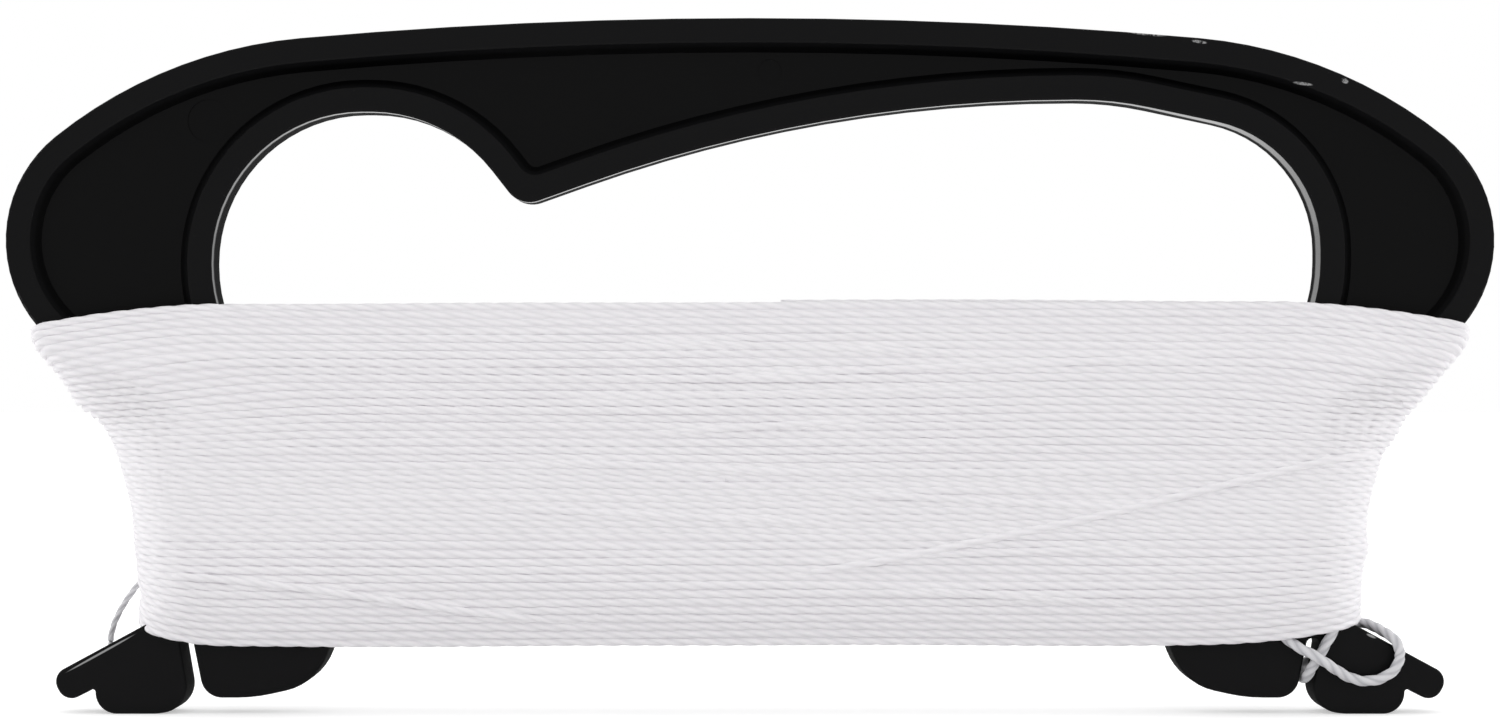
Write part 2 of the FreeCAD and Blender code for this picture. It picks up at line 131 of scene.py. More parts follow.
# Free line at the right end, and at the left: the source's routes; the loop's two ends go on into the winding
SLACK_DIAMETER = 1.9
SLACK_LAY = 9.0
END_LOOP_ROUTE = (
    (102.3, -5.2, 16.0), (101.6, -5.3, 14.7), (100.6, -5.4, 13.0), (99.6, -5.4, 11.2), (98.4, -5.4, 9.4),
    (97.5, -5.2, 7.6), (97.1, -3.4, 6.2), (97.1, 0.2, 5.9), (97.2, 3.9, 6.2), (98.3, 5.7, 7.6),
    (100.9, 5.8, 9.7), (103.7, 5.8, 11.6), (106.3, 5.7, 13.7), (108.2, 4.6, 15.4), (109.8, 1.6, 14.95),
    (111.2, -1.8, 14.1), (112.5, -4.9, 13.1), (113.2, -5.8, 10.8), (112.5, -5.9, 8.2), (110.0, -5.8, 6.3),
    (106.8, -5.8, 5.8), (103.9, -5.9, 6.6), (101.3, -6.5, 8.3), (98.7, -7.6, 10.0), (96.6, -7.4, 11.2),
    (94.8, -6.4, 12.1), (93.2, -5.4, 13.4), (91.9, -5.1, 15.0))
TAIL_DIAMETER = 1.1
TAIL_LAY = 7.0
START_TAIL_ROUTE = (
    (-107.6, 6.5, 23.5), (-109.6, 5.9, 21.0), (-111.4, 5.4, 18.3), (-112.8, 5.0, 15.5), (-113.6, 4.85, 12.6),
    (-113.4, 4.85, 9.7), (-111.7, 4.85, 7.1), (-108.9, 4.85, 5.6), (-105.8, 4.9, 5.7), (-103.2, 5.1, 7.4),
    (-101.9, 5.5, 10.2), (-101.4, 5.9, 13.3))
FREE_LINE_STEP = 0.4

# Colours, linear
PLASTIC_BLACK = (0.003, 0.003, 0.0033)
# Painted shade: the recess's faces are painted a deeper black than the rim
PLASTIC_RECESS_SHADE = (0.0007, 0.0007, 0.0008)
# Light grey of the edge scuffs and of the painted highlights on the edges and the arms' tops
PLASTIC_SCUFF_AND_HIGHLIGHT = (0.32, 0.32, 0.32)
LINE_WHITE = (0.93, 0.911, 0.935)
# The darker line colours are the line's darker tone and also the painted shade in its plies' seams
LINE_TONE_AND_SEAM_SHADE = (0.84, 0.822, 0.85)
SLACK_WHITE = (0.74, 0.735, 0.755)
SLACK_TONE_AND_SEAM_SHADE = (0.5, 0.5, 0.525)

# Board's finish: how rough its faces, its side walls and the polished front edge of the hole are, and
# the depths between which that polish fades
FACE_ROUGHNESS, WALL_ROUGHNESS, POLISHED_ROUGHNESS = 0.36, 0.85, 0.1
POLISH_DEPTHS = (-2.6, -1.0)
POLISH_FROM_HEIGHT = 50.0
# On the hole's right side the polish reaches deeper by POLISH_SHIFT, from the first of these x to the second
POLISH_SHIFT, POLISH_SHIFT_X = 2.6, (55.0, 90.0)
# Square of the normal's depth part, from a wall's to a face's, and the distances from the board's middle
# plane between which the painted shade of the recess, a deeper black on its faces, fades
WALL_NORMALS = (0.02, 0.25)
RECESS_SHADE_DEPTHS = (2.6, 3.2)
# Noise scales; how far patches change the roughness; the grain's strength and height in metres
GRAIN_SCALE, PATCH_SCALE, SPECKLE_SCALE = 5200.0, 38.0, 1600.0
PATCH_ROUGHNESS = 0.08
GRAIN_STRENGTH, GRAIN_HEIGHT = 0.12, 0.00004
PLASTIC_SPECULAR = 0.08
# Line's finish: stretch of its fibres and its tone along and round it, and how much fibres, tone and the plies'
# crests count in its colour, from which to which sum; the crests' share paints shade into the plies' seams
WOUND_ROUGHNESS, SLACK_ROUGHNESS = 0.5, 0.6
FIBRE_STRETCH, TONE_STRETCH = (5.0, 34.0, 1.0), (0.9, 1.5, 1.0)
FIBRE_SHARE, TONE_SHARE, SEAM_SHADE_SHARE = 0.35, 0.3, 0.35
TONE_RANGE = (0.3, 0.72)
FIBRE_STRENGTH, FIBRE_HEIGHT = 0.35, 0.00009
# Angles in degrees above which edges stay sharp, and the distance in metres at which points are merged
LINE_SHARP_ANGLE, BOARD_SHARP_ANGLE = 80, 25
MERGE_DISTANCE = 1e-7
# Light marks painted on the front: (x, z, half length, half width, tilt in degrees), scuffs on the outer edge
# that are partly painted highlight, and painted highlights along the tops of the arms
EDGE_SCUFFS_AND_HIGHLIGHTS = ((69.3, 118.8, 3.8, 0.45, -6.0), (78.4, 117.3, 1.6, 0.3, -9.0), (103.8, 110.5, 0.75, 0.5, -28.0),
                 (96.5, 110.0, 1.9, 0.3, -8.0))
# Painted highlights: light lines along the arms' top edges, where the edges catch the light
ARM_PAINTED_HIGHLIGHTS = ((-113.3, 10.6, 7.4, 0.2, 29.0), (108.4, 13.6, 1.0, 0.24, -24.0))
# How soft a mark's edge is, which speckles break up the scuffed ones, and how far back marks reach
MARK_SOFTNESS, SPECKLE_RANGE, MARK_DEPTH = 0.6, (0.35, 0.6), -3.0

# Studio: how bright the room is level with the object, how much brighter overhead and at its two sides
ROOM_LEVEL, OVERHEAD_LEVEL, SIDE_LEVEL = 0.63, 0.43, 2.45
SIDE_CONE = (0.8, 0.97)
FLOOR_WHITE = 0.85
FLOOR_GLOW = 0.45
FLOOR_SIZE, FLOOR_GAP = 6000.0, 0.05

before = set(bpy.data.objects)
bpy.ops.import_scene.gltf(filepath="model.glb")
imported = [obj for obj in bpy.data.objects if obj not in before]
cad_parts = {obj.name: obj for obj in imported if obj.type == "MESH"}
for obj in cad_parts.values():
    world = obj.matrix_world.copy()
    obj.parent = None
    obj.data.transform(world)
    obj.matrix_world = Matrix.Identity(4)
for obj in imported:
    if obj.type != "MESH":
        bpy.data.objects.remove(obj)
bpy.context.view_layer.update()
rng = np.random.default_rng(SEED)


# ---------------------------------------------------------------- shapes

def smooth(share):
    """0 below 0, 1 above 1, and 3t^2 - 2t^3 between."""
    share = np.clip(share, 0.0, 1.0)
    return share * share * (3.0 - 2.0 * share)


def eased(distance, run):
    """sin of a quarter turn: 0 at the start of the run, 1 from its end on."""
    return np.sin(np.pi / 2 * np.clip(distance / run, 0.0, 1.0))


def smooth_curve(points, at):
    """Cubic Hermite curve through points (place, value), its slopes from the neighbours, at new places."""
    places, values = np.array(points).T
    slopes = np.gradient(values, places)
    at = np.clip(at, places[0], places[-1])
    span = np.clip(np.searchsorted(places, at) - 1, 0, len(places) - 2)
    width = places[span + 1] - places[span]
    t = (at - places[span]) / width
    return ((1 + 2 * t) * (1 - t) ** 2 * values[span] + t ** 2 * (3 - 2 * t) * values[span + 1]
            + width * (t * (1 - t) ** 2 * slopes[span] - t ** 2 * (1 - t) * slopes[span + 1]))


def end_half_length(z, side):
    """Half length of the outer strands at height z: the end profile with its bulges."""
    length = smooth_curve(END_PROFILE, z)
    for bulge_side, height, half_height, out in END_BULGES:
        length = length + (side == bulge_side) * out * np.exp(-((z - height) / half_height) ** 2)
    return length


def face_depth(z):
    """Half depth of the outer strands at height z: thin at the top and the bottom of the winding."""
    low = FACE_LOW_BUILD + (FACE_BUILD - FACE_LOW_BUILD) * eased(z - LOW_MIDDLE, FACE_LOW_RUN)
    high = FACE_HIGH_BUILD + (FACE_BUILD - FACE_HIGH_BUILD) * eased(HIGH_MIDDLE - z, FACE_HIGH_RUN)
    return BOARD_THICKNESS / 2 + np.minimum(low, high)


def flare_share(z):
    """0 up to where the ends of the winding begin to flare, 1 from the flare's top on."""
    return smooth((z - (HIGH_CORNER - FLARE_RUN)) / FLARE_RUN)


def face_end(z, side):
    """Half length of the straight faces at height z."""
    flare = flare_share(z)
    return FACE_END * (1 - flare) + (end_half_length(z, side) - WRAP_RUN_TOP) * flare


def on_winding(turn, z, outset):
    """Point of the winding's surface, moved out by outset: the plan is two straight faces joined by
    half superellipses. turn counts the way round: whole numbers are the left end of the front, and a
    quarter turn each is spent on the front, the right end, the back and the left end."""
    quarter = np.mod(turn, 1.0) * 4
    side = np.where(quarter < 2, 1, -1)
    power = WRAP_POWER + (WRAP_POWER_TOP - WRAP_POWER) * flare_share(z)
    right, left = face_end(z, 1), face_end(z, -1)
    wrap = np.where(side > 0, end_half_length(z, 1) - right, end_half_length(z, -1) - left) + outset
    depth = face_depth(z) + outset
    across = np.mod(quarter, 1.0)
    on_face = (quarter < 1) | ((quarter >= 2) & (quarter < 3))
    face_x = np.where(quarter < 2, -left + (left + right) * across, right - (left + right) * across)
    angle = (across - 0.5) * np.pi
    wrap_x = side * (np.where(side > 0, right, left) + wrap * np.cos(angle) ** (2 / power))
    wrap_y = side * depth * np.sign(np.sin(angle)) * np.abs(np.sin(angle)) ** (2 / power)
    x = np.where(on_face, face_x, wrap_x)
    y = np.where(on_face, -side * depth, wrap_y)
    return np.stack([x, y, z], axis=-1)


def strand_height(share, turn):
    """Height of a strand: its share of the way from the lowest to the highest, and near those two a bow that
    is 0 at the ends and, by 1 - (1 - t)^power, full at its run's end."""
    corner = LOW_CORNER + (HIGH_CORNER - LOW_CORNER) * share
    low_bow = (LOW_MIDDLE - LOW_CORNER) * np.clip(1 - share / LOW_BOW_SHARE, 0, 1)
    high_bow = (HIGH_MIDDLE - HIGH_CORNER) * np.clip(1 - (1 - share) / HIGH_BOW_SHARE, 0, 1)
    inward = smooth_curve(END_PROFILE, corner) * (1 - np.abs(face_share(turn)))
    low_run = np.where(face_share(turn) < 0, *LOW_BOW_RUNS)
    low_bent = 1 - (1 - np.clip(inward / low_run, 0, 1)) ** LOW_BOW_POWER
    high_bent = 1 - (1 - np.clip(inward / HIGH_BOW_RUN, 0, 1)) ** HIGH_BOW_POWER
    return corner + low_bow * low_bent + high_bow * high_bent


def face_share(turn):
    """Where along the board a way round stands: -1 to 1 on the front, and back again behind."""
    return np.interp(np.mod(turn, 1.0) * 4, [0, 1, 1.5, 2, 3, 3.5, 4],
                     [-FACE_SHARE, FACE_SHARE, 1, FACE_SHARE, -FACE_SHARE, -1, -FACE_SHARE])


def ring_section(diameter):
    """Outline of a three-ply line as radii and angles: the radius falls by the groove's depth where the
    cosine of the angle, taken once for each two plies, is 0."""
    angles = np.arange(SECTION_POINTS) * 2 * np.pi / SECTION_POINTS
    crest = np.abs(np.cos(PLIES / 2 * angles))
    return diameter / 2 * (1 - GROOVE_DEPTH + GROOVE_DEPTH * crest ** GROOVE_POWER), angles


def path_frame(points):
    """Unit vectors across a path: level to its side, and square to that and to the path."""
    tangent = np.gradient(points, axis=0)
    tangent /= np.linalg.norm(tangent, axis=1, keepdims=True)
    up = np.array([0.0, 0.0, 1.0])
    side = np.cross(tangent, up)
    side /= np.linalg.norm(side, axis=1, keepdims=True)
    return side, np.cross(side, tangent)


def twisted_line(points, diameter, lay, width=1.0, slip=0.0):
    """Rings of a three-ply line along a path: the section turns once in each lay length, and slip is how
    many turns it is ahead of that. Upwards it is stretched by width."""
    lengths = np.concatenate([[0.0], np.cumsum(np.linalg.norm(np.diff(points, axis=0), axis=1))])
    side, up = path_frame(points)
    radii, angles = ring_section(diameter)
    twist = lengths / lay + slip
    turned = angles[None, :] - 2 * np.pi * twist[:, None]
    across = np.cos(turned)[..., None] * side[:, None, :] + width * np.sin(turned)[..., None] * up[:, None, :]
    rings = points[:, None, :] + radii[None, :, None] * across
    along = np.repeat(twist[:, None], SECTION_POINTS + 1, axis=1)
    around = np.repeat(np.linspace(0, 1, SECTION_POINTS + 1)[None, :], len(points), axis=0)
    return rings, np.stack([along, around], axis=-1)


def tubes_mesh(name, tubes):
    """One mesh from several closed tubes, each a grid of rings and its UV grid, with pole caps."""
    vertices, faces = [], []
    base = 0
    for rings, uv in tubes:
        count, size = rings.shape[:2]
        ends = rings[[0, -1]].mean(axis=1)
        vertices += [rings.reshape(-1, 3), ends]
        i, j = np.meshgrid(np.arange(count - 1), np.arange(size), indexing="ij")
        i, j = i.ravel(), j.ravel()
        onward = (j + 1) % size
        quads = base + np.stack([i * size + j, (i + 1) * size + j,
                                 (i + 1) * size + onward, i * size + onward], 1)
        quad_uv = np.stack([uv[i, j], uv[i + 1, j], uv[i + 1, j + 1], uv[i, j + 1]], 1)
        j = np.arange(size)
        onward = (j + 1) % size
        first, last = base + count * size, base + count * size + 1
        start_fan = np.stack([np.full(size, first), base + j, base + onward], 1)
        end_fan = np.stack([np.full(size, last), base + (count - 1) * size + onward,
                            base + (count - 1) * size + j], 1)
        fan_uv = np.stack([uv[0, :-1], uv[0, :-1], uv[0, 1:]], 1)
        faces += [(quads, quad_uv), (start_fan, fan_uv), (end_fan, fan_uv)]
        base += count * size + 2
    piece = mesh_from(name, np.concatenate(vertices), faces)
    piece.data.set_sharp_from_angle(angle=math.radians(LINE_SHARP_ANGLE))
    return piece


def mesh_from(name, vertices, faces):
    """Object from a vertex array in millimetres and groups of same-sized faces with their UVs."""
    mesh = bpy.data.meshes.new(name)
    loops = np.concatenate([group.ravel() for group, uv in faces])
    sizes = np.concatenate([np.full(len(group), group.shape[1]) for group, uv in faces])
    starts = np.concatenate([[0], np.cumsum(sizes)[:-1]])
    mesh.vertices.add(len(vertices))
    mesh.vertices.foreach_set("co", (vertices * MM).astype(np.float32).ravel())
    mesh.loops.add(len(loops))
    mesh.loops.foreach_set("vertex_index", loops.astype(np.int32))
    mesh.polygons.add(len(sizes))
    mesh.polygons.foreach_set("loop_start", starts.astype(np.int32))
    layer = mesh.uv_layers.new(name="UVMap")
    uvs = np.concatenate([uv.reshape(-1, 2) for group, uv in faces])
    layer.data.foreach_set("uv", uvs.astype(np.float32).ravel())
    mesh.update(calc_edges=True)
    mesh.validate()
    mesh.shade_smooth()
    piece = bpy.data.objects.new(name, mesh)
    bpy.context.collection.objects.link(piece)
    return piece


def route_curve(route, step):
    """Smooth line of a route: a quadratic curve round each point, from mid-run to mid-run."""
    points = np.array(route)
    middles = (points[:-1] + points[1:]) / 2
    starts = np.concatenate([points[:1], middles])
    pieces = [points[:1]]
    for i, corner in enumerate(points[1:-1]):
        begin, end = middles[i], middles[i + 1]
        count = max(3, int(np.linalg.norm(end - begin) / step))
        t = np.linspace(0, 1, count, endpoint=False)[:, None]
        pieces.append(begin * (1 - t) ** 2 + corner * 2 * t * (1 - t) + end * t ** 2)
    return np.concatenate(pieces + [middles[-1:], points[-1:]])


# ---------------------------------------------------------------- winding

def turn_samples():
    """Ways round of one turn's samples: many on the faces, few on the ends."""
    face = np.linspace(0, 0.25, RUN_STEPS, endpoint=False)
    wrap = np.linspace(0.25, 0.5, WRAP_STEPS, endpoint=False)
    half = np.concatenate([face, wrap])
    return np.concatenate([half, half + 0.5])


def outer_strands():
    """Outer layer: one line that climbs the winding, in pieces of a few turns each. It sways by two slow
    sines of x, whose phases drift from run to run, and dives under the layer at its two ends."""
    turn = (np.arange(TURNS)[:, None] + turn_samples()[None, :]).ravel()
    turn = turn[(turn >= FIRST_TURN) & (turn <= LAST_TURN)]
    run = np.floor(turn * 2).astype(int)
    x = HALF_RUN * face_share(turn)
    on_face = smooth((FADE_FROM - np.abs(x)) / FADE_RUN)
    drift = np.cumsum(rng.normal(0, SWAY_DRIFT, 2 * TURNS + 1))[run]
    own = rng.uniform(0, 2 * np.pi, 2 * TURNS + 1)[run]
    lift = rng.normal(0, 1, 2 * TURNS + 1)[run]
    (slow, slow_run), (quick, quick_run) = SWAY
    sway = slow * np.sin(2 * np.pi * x / slow_run + drift) + quick * np.sin(2 * np.pi * x / quick_run + own)
    z = strand_height((turn - FIRST_TURN) / (LAST_TURN - FIRST_TURN), turn) + on_face * sway
    out = on_face * LIFT * lift * (0.5 + np.sin(2 * np.pi * x / LIFT_RUN + own))
    kept = smooth((turn - turn[0]) / END_SINK_TURN) * smooth((turn[-1] - turn) / END_SINK_TURN)
    points = on_winding(turn, z, out - END_SINK * (1 - kept))
    bounds = np.linspace(0, len(turn) - 1, STRANDS_PIECES + 1).astype(int)
    slips = np.cumsum(rng.normal(0, TWIST_SLIP, 2 * TURNS + 1))
    slip = np.interp(2 * turn, np.arange(2 * TURNS + 1), slips)
    rings, uv = twisted_line(points, LINE_DIAMETER, LINE_LAY, PRESSED_WIDTH, slip)
    return [tubes_mesh("wound_line_%d" % (number + 1), [(rings[begin:end + 1], uv[begin:end + 1])])
            for number, (begin, end) in enumerate(zip(bounds[:-1], bounds[1:]))]


def strewn_crossings():
    """Shallow crossings at random places of both faces: (face, points, stand-out), each a straight slant."""
    found = []
    for face in (-1, 1):
        heights = np.linspace(LOW_CORNER + STREWN_LOW, HIGH_CORNER - STREWN_HIGH, STREWN_CROSSINGS)
        for height in heights + rng.uniform(-STREWN_STRAY, STREWN_STRAY, STREWN_CROSSINGS):
            length, fall = rng.uniform(*STREWN_LENGTH), rng.uniform(*STREWN_FALL) * rng.choice((-1, 1))
            middle = rng.uniform(-STREWN_REACH + length / 2, STREWN_REACH - length / 2)
            slant = np.linspace(-0.5, 0.5, STREWN_POINTS)
            x = middle + length * slant
            z = height + fall * slant
            found.append((face, tuple(zip(x, z)), rng.uniform(*STREWN_OUT)))
    return found


def crossing_strands():
    """Strands that cross the outer layer at a slant and sink into it towards their ends. Up to the face's
    end x is the share of the face, and beyond it x goes on round the end."""
    tubes = []
    for face, points, out in [(-1, *crossing) for crossing in CROSSINGS] + strewn_crossings():
        x, z = np.array(sorted(points)).T
        along = np.linspace(x[0], x[-1], int((x[-1] - x[0]) / CROSSING_STEP))
        height = smooth_curve(np.stack([x, z], 1), along)
        left, right = face_end(height, -1), face_end(height, 1)
        share = (along + left) / (left + right)
        beyond_right = np.clip((along - right) / CROSSING_WRAP, 0, 0.25)
        beyond_left = np.clip((-left - along) / CROSSING_WRAP, 0, 0.25)
        turn = 0.25 * np.clip(share, 0, 1) + beyond_right - beyond_left
        if face > 0:
            turn = 0.75 - 0.25 * np.clip(share, 0, 1)
        left_run, right_run = (CROSSING_SINK_RUN / (CROSSING_END_HASTE if abs(end) > FACE_END else 1)
                               for end in (x[0], x[-1]))
        shown = smooth((along - x[0]) / left_run) * smooth((x[-1] - along) / right_run)
        outset = out * shown - CROSSING_SINK * (1 - shown)
        tubes.append(twisted_line(on_winding(turn, height, outset), LINE_DIAMETER, LINE_LAY))
    return tubes_mesh("crossing_strands", tubes)


def inner_layers():
    """Inner layers: a closed sleeve. Its outer wall is plain and lies just outside the strands' centre lines;
    its inner wall, on the board, has a ridge for each strand, as the absolute value of a sine."""
    face = np.linspace(0, 0.25, SLEEVE_FACE_STEPS, endpoint=False)
    wrap = np.linspace(0.25, 0.5, SLEEVE_WRAP_STEPS, endpoint=False)
    half = np.concatenate([face, wrap])
    turns = np.concatenate([half, half + 0.5])
    rows = TURNS * SLEEVE_ROWS
    up = np.linspace(SLEEVE_INSET, 1 - SLEEVE_INSET, rows)
    share = np.concatenate([up, up[::-1]])
    inside = np.concatenate([np.zeros(rows), np.ones(rows)])
    turn, share_grid = np.meshgrid(turns, share, indexing="ij")
    inside = np.broadcast_to(inside, turn.shape)
    at_end = smooth((np.abs(face_share(turn)) - FACE_SHARE) / (1 - FACE_SHARE))
    share_grid = np.minimum(share_grid, 1 - SLEEVE_END_INSET * at_end)
    z = strand_height(share_grid, turn)
    ridge = np.abs(np.sin(np.pi * (share_grid * TURNS - turn)))
    build = face_depth(z) - BOARD_THICKNESS / 2
    inner = np.minimum(GROOVE_FLOOR - SLEEVE_WALL, BOARD_GAP - build + SLEEVE_RIDGE * ridge)
    rings = on_winding(turn, z, np.where(inside > 0.5, inner, GROOVE_FLOOR))
    uv_u = np.repeat((np.arange(len(turns)) * SLEEVE_UV_STEP / LINE_LAY)[:, None], rings.shape[1] + 1, axis=1)
    uv_v = np.repeat((np.arange(rings.shape[1] + 1) / SLEEVE_ROWS)[None, :], len(turns), axis=0)
    return closed_grid("inner_layers", rings, np.stack([uv_u, uv_v], axis=-1))


def closed_grid(name, grid, uv):
    """Mesh of a grid that is closed both ways, as a ring of closed sections."""
    count, size = grid.shape[:2]
    i, j = np.meshgrid(np.arange(count), np.arange(size), indexing="ij")
    i, j = i.ravel(), j.ravel()
    next_i, next_j = (i + 1) % count, (j + 1) % size
    quads = np.stack([i * size + j, next_i * size + j, next_i * size + next_j, i * size + next_j], 1)
    quad_uv = np.stack([uv[i, j], uv[next_i, j], uv[next_i, j + 1], uv[i, j + 1]], 1)
    return mesh_from(name, grid.reshape(-1, 3), [(quads, quad_uv)])


# ---------------------------------------------------------------- materials

class Socket:
    """A shader socket that takes part in Python expressions and adds Math nodes for them."""

    def __init__(self, shader, link):
        self.shader, self.link = shader, link

    def math(self, operation, *others):
        return self.shader.node("ShaderNodeMath", {"operation": operation}, {0: self, **{
            i + 1: other for i, other in enumerate(others)}})

    def __add__(self, other): return self.math("ADD", other)
    def __radd__(self, other): return self.math("ADD", other)
    def __mul__(self, other): return self.math("MULTIPLY", other)
    def __rmul__(self, other): return self.math("MULTIPLY", other)
    def __sub__(self, other): return self.math("SUBTRACT", other)
    def __rsub__(self, other): return (self * -1.0) + other
    def __gt__(self, other): return self.math("GREATER_THAN", other)

    def clamp(self, low, high):
        """This value's place between low and high, as 0 to 1."""
        return self.shader.node("ShaderNodeMapRange", {"interpolation_type": "SMOOTHSTEP"},
                                {"Value": self, "From Min": low, "From Max": high})


class Shader:
    """A node tree with one method that adds any node and returns one of its outputs."""

    def __init__(self, owner):
        owner.use_nodes = True
        self.tree = owner.node_tree
        self.tree.nodes.clear()

    def node(self, kind, settings=None, inputs=None, output=0):
        made = self.tree.nodes.new(kind)
        for name, value in (settings or {}).items():
            setattr(made, name, value)
        for name, value in (inputs or {}).items():
            if isinstance(value, Socket):
                self.tree.links.new(value.link, made.inputs[name])
            else:
                made.inputs[name].default_value = value
        return Socket(self, made.outputs[output])

    def mix(self, factor, first, second):
        """Colour mix; 0, 6, 7 and output 2 are the Mix node's colour sockets."""
        return self.node("ShaderNodeMix", {"data_type": "RGBA"}, {0: factor, 6: first, 7: second}, 2)

    def finish(self, surface, kind="ShaderNodeOutputMaterial"):
        end = self.tree.nodes.new(kind)
        self.tree.links.new(surface.link, end.inputs["Surface"])


def rgba(colour):
    """Colour with full opacity."""
    return (*colour, 1.0)


def noise(shader, vector, scale, detail=2.0, roughness=0.5):
    """Noise texture's value."""
    return shader.node("ShaderNodeTexNoise", {}, {"Vector": vector, "Scale": scale, "Detail": detail,
                                                  "Roughness": roughness})


def stretched(shader, vector, scale):
    """Vector scaled along each axis."""
    return shader.node("ShaderNodeMapping", {}, {"Vector": vector, "Scale": scale})


def marks_mask(marks, x, z):
    """Mask of the front's marks, scuffs and painted highlights: one soft ellipse each, added up."""
    total = 0.0
    for mark_x, mark_z, half_length, half_width, tilt in marks:
        cos, sin = math.cos(math.radians(tilt)), math.sin(math.radians(tilt))
        along = ((x - mark_x * MM) * cos + (z - mark_z * MM) * sin) * (1 / (half_length * MM))
        across = ((z - mark_z * MM) * cos - (x - mark_x * MM) * sin) * (1 / (half_width * MM))
        total = (1.0 - (along * along + across * across)).clamp(0.0, MARK_SOFTNESS) + total
    return total


def plastic_material():
    """Black satin plastic: matt side walls, a polished front edge round the hole, a fine moulded grain, painted
    shade that darkens the recessed panel, scuffs on the outer edge that are partly painted highlight, and
    painted highlights along the tops of the arms."""
    material = bpy.data.materials.new("black_plastic")
    shader = Shader(material)
    place = shader.node("ShaderNodeTexCoord", output=3)
    x, y, z = (shader.node("ShaderNodeSeparateXYZ", {}, {"Vector": place}, output=axis) for axis in range(3))
    grain = noise(shader, place, GRAIN_SCALE)
    patches = noise(shader, place, PATCH_SCALE, 3.0)
    speckle = noise(shader, place, SPECKLE_SCALE, 3.0, 0.7)
    normal = shader.node("ShaderNodeNewGeometry", output=3)
    normal_y = shader.node("ShaderNodeSeparateXYZ", {}, {"Vector": normal}, output=1)
    wall = 1.0 - (normal_y * normal_y).clamp(*WALL_NORMALS)
    depth = y - x.clamp(POLISH_SHIFT_X[0] * MM, POLISH_SHIFT_X[1] * MM) * (POLISH_SHIFT * MM)
    polished = 1.0 - depth.clamp(*(edge * MM for edge in POLISH_DEPTHS))
    polish = wall * (z > POLISH_FROM_HEIGHT * MM) * polished
    # Scuffs on the outer edge, partly painted highlight; the arms' painted highlights are added to them below
    edge_scuffs_and_highlights = marks_mask(EDGE_SCUFFS_AND_HIGHLIGHTS, x, z) * speckle.clamp(*SPECKLE_RANGE)
    scuffs_and_painted_highlights = (edge_scuffs_and_highlights + marks_mask(ARM_PAINTED_HIGHLIGHTS, x, z)) * (1.0 - (y > MARK_DEPTH * MM))
    # Painted shade: the recess's faces are mixed towards a deeper black
    recess_shade = 1.0 - y.math("ABSOLUTE").clamp(*(edge * MM for edge in RECESS_SHADE_DEPTHS))
    black_and_recess_shade = shader.mix(recess_shade * (1.0 - wall), rgba(PLASTIC_BLACK), rgba(PLASTIC_RECESS_SHADE))
    colour = shader.mix(scuffs_and_painted_highlights, black_and_recess_shade, rgba(PLASTIC_SCUFF_AND_HIGHLIGHT))
    rough = FACE_ROUGHNESS + PATCH_ROUGHNESS * patches + wall * (WALL_ROUGHNESS - FACE_ROUGHNESS)
    rough = rough - polish * (WALL_ROUGHNESS - POLISHED_ROUGHNESS)
    bump = shader.node("ShaderNodeBump", {}, {"Height": grain, "Strength": GRAIN_STRENGTH,
                                                 "Distance": GRAIN_HEIGHT})
    surface = shader.node("ShaderNodeBsdfPrincipled", {}, {
        "Base Color": colour, "Roughness": rough, "Normal": bump,
        "Specular IOR Level": PLASTIC_SPECULAR})
    shader.finish(surface)
    return material


def line_material(name, white, shade, roughness):
    """White twisted line: fibres that run along the plies, and painted shade that darkens the plies towards
    their seams.
    """
    material = bpy.data.materials.new(name)
    shader = Shader(material)
    ply = shader.node("ShaderNodeTexCoord", output=2)
    around = shader.node("ShaderNodeSeparateXYZ", {}, {"Vector": ply}, output=1)
    # Painted shade: the plies' seams are mixed towards the darker colour
    crest = (around * (PLIES * math.pi)).math("COSINE").math("ABSOLUTE")
    fibres = noise(shader, stretched(shader, ply, FIBRE_STRETCH), 1.0, 3.0, 0.6)
    tone = noise(shader, stretched(shader, ply, TONE_STRETCH), 1.0, 2.0)
    pale = (fibres * FIBRE_SHARE + tone * TONE_SHARE + crest * SEAM_SHADE_SHARE).clamp(*TONE_RANGE)
    colour = shader.mix(pale, rgba(shade), rgba(white))
    bump = shader.node("ShaderNodeBump", {}, {"Height": fibres, "Strength": FIBRE_STRENGTH,
                                                 "Distance": FIBRE_HEIGHT})
    surface = shader.node("ShaderNodeBsdfPrincipled", {}, {
        "Base Color": colour, "Roughness": roughness, "Normal": bump})
    shader.finish(surface)
    return material


# ---------------------------------------------------------------- camera and cords

def add_camera():
    """Camera square to the front, whose view is VIEW_WIDTH wide at the board's front face."""
    data = bpy.data.cameras.new("camera")
    data.sensor_width = SENSOR_WIDTH
    data.lens = SENSOR_WIDTH * CAMERA_DISTANCE / VIEW_WIDTH
    data.clip_start, data.clip_end = 0.01, 50.0
    camera = bpy.data.objects.new("camera", data)
    bpy.context.collection.objects.link(camera)
    camera.location = (0.0, -(CAMERA_DISTANCE + BOARD_THICKNESS / 2) * MM, VIEW_CENTRE_Z * MM)
    camera.rotation_euler = (math.pi / 2, 0.0, 0.0)
    bpy.context.scene.camera = camera


def free_line(name, route, diameter, lay, node):
    """Slack line along its route, a free cord that goes back into the winding; the source's own node for it is
    hidden.
    """
    points = route_curve(route, FREE_LINE_STEP)
    piece = tubes_mesh(name, [twisted_line(points, diameter, lay)])
    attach(piece, "root")
    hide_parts(node)
    return piece


add_camera()
end_loop = free_line("end_loop", END_LOOP_ROUTE, SLACK_DIAMETER, SLACK_LAY, "line_end_loop")
start_tail = free_line("start_tail", START_TAIL_ROUTE, TAIL_DIAMETER, TAIL_LAY, "line_start_tail")


# ---------------------------------------------------------------- pieces

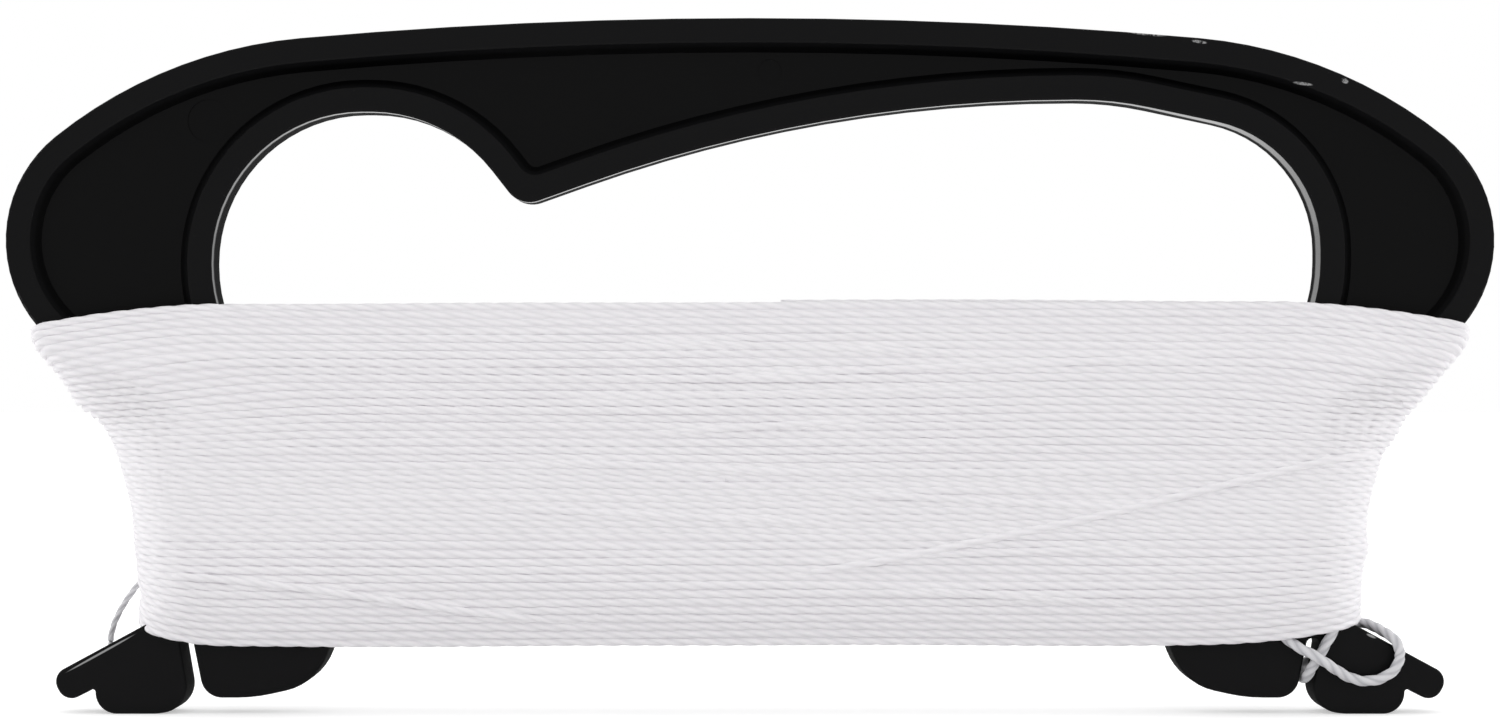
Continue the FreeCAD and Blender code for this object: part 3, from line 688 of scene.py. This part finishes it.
def winder_board():
    """The board: the frame's own solid, merged and shaded smooth except at its edges."""
    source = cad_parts["winder_frame"]
    mesh = source.data.copy()
    mesh.name = "winder_board"
    mesh.attributes.remove(mesh.attributes["custom_normal"])
    piece = bpy.data.objects.new("winder_board", mesh)
    bpy.context.collection.objects.link(piece)
    work = bmesh.new()
    work.from_mesh(mesh)
    bmesh.ops.remove_doubles(work, verts=work.verts, dist=MERGE_DISTANCE)
    work.to_mesh(mesh)
    work.free()
    mesh.shade_smooth()
    mesh.set_sharp_from_angle(angle=math.radians(BOARD_SHARP_ANGLE))
    weighted = piece.modifiers.new("weighted_normals", "WEIGHTED_NORMAL")
    weighted.keep_sharp = True
    weighted.weight = 100
    return piece


board = winder_board()
wound = outer_strands()
crossing = crossing_strands()
inner = inner_layers()

plastic = plastic_material()
wound_material = line_material("wound_line_white", LINE_WHITE, LINE_TONE_AND_SEAM_SHADE, WOUND_ROUGHNESS)
slack_material = line_material("slack_line_grey", SLACK_WHITE, SLACK_TONE_AND_SEAM_SHADE, SLACK_ROUGHNESS)

board.data.materials.clear()
board.data.materials.append(plastic)
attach(board, "root")
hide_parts("winder_frame")
for piece in wound + [crossing, inner]:
    piece.data.materials.append(wound_material)
    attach(piece, "root")
for piece in wound:
    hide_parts("line_outer_turns")
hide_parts("line_core")
for piece in (end_loop, start_tail):
    piece.data.materials.append(slack_material)


# ---------------------------------------------------------------- studio

def seen_directly(shader):
    """1 for rays from the camera, in a mirror or through glass, and 0 for those that only light things."""
    camera, glossy, transmission = (shader.node("ShaderNodeLightPath", output=ray) for ray in (0, 3, 6))
    return camera.math("MAXIMUM", glossy).math("MAXIMUM", transmission)


def add_world():
    """White round the object where it is seen or mirrored; the room's own light is a soft tent, brighter
    overhead and at the two sides."""
    world = bpy.data.worlds.new("studio")
    bpy.context.scene.world = world
    shader = Shader(world)
    direction = shader.node("ShaderNodeTexCoord", output=0)
    x, up = (shader.node("ShaderNodeSeparateXYZ", {}, {"Vector": direction}, output=axis) for axis in (0, 2))
    sides = x.math("ABSOLUTE").clamp(*SIDE_CONE)
    level = ROOM_LEVEL + up.math("MAXIMUM", 0.0) * OVERHEAD_LEVEL + sides * SIDE_LEVEL
    seen = seen_directly(shader)
    strength = seen + (1.0 - seen) * level
    surface = shader.node("ShaderNodeBackground", {}, {"Color": (1, 1, 1, 1), "Strength": strength})
    shader.finish(surface, "ShaderNodeOutputWorld")


def add_floor():
    """Pale floor under the soles, which keeps a soft shadow."""
    half = FLOOR_SIZE / 2
    corners = np.array([(-half, -half, 0), (half, -half, 0), (half, half, 0), (-half, half, 0)], float)
    corners[:, 2] = -FLOOR_GAP
    quad = np.array([[0, 1, 2, 3]])
    floor = mesh_from("floor", corners, [(quad, np.zeros((1, 4, 2)))])
    material = bpy.data.materials.new("floor_white")
    shader = Shader(material)
    seen = seen_directly(shader)
    white = shader.node("ShaderNodeBsdfDiffuse", {}, {"Color": (FLOOR_WHITE,) * 3 + (1.0,)})
    glow = shader.node("ShaderNodeEmission", {}, {"Color": (1, 1, 1, 1), "Strength": seen * FLOOR_GLOW})
    shader.finish(shader.node("ShaderNodeAddShader", {}, {0: white, 1: glow}))
    floor.data.materials.append(material)


add_world()
add_floor()
bpy.context.scene.view_settings.view_transform = "Standard"
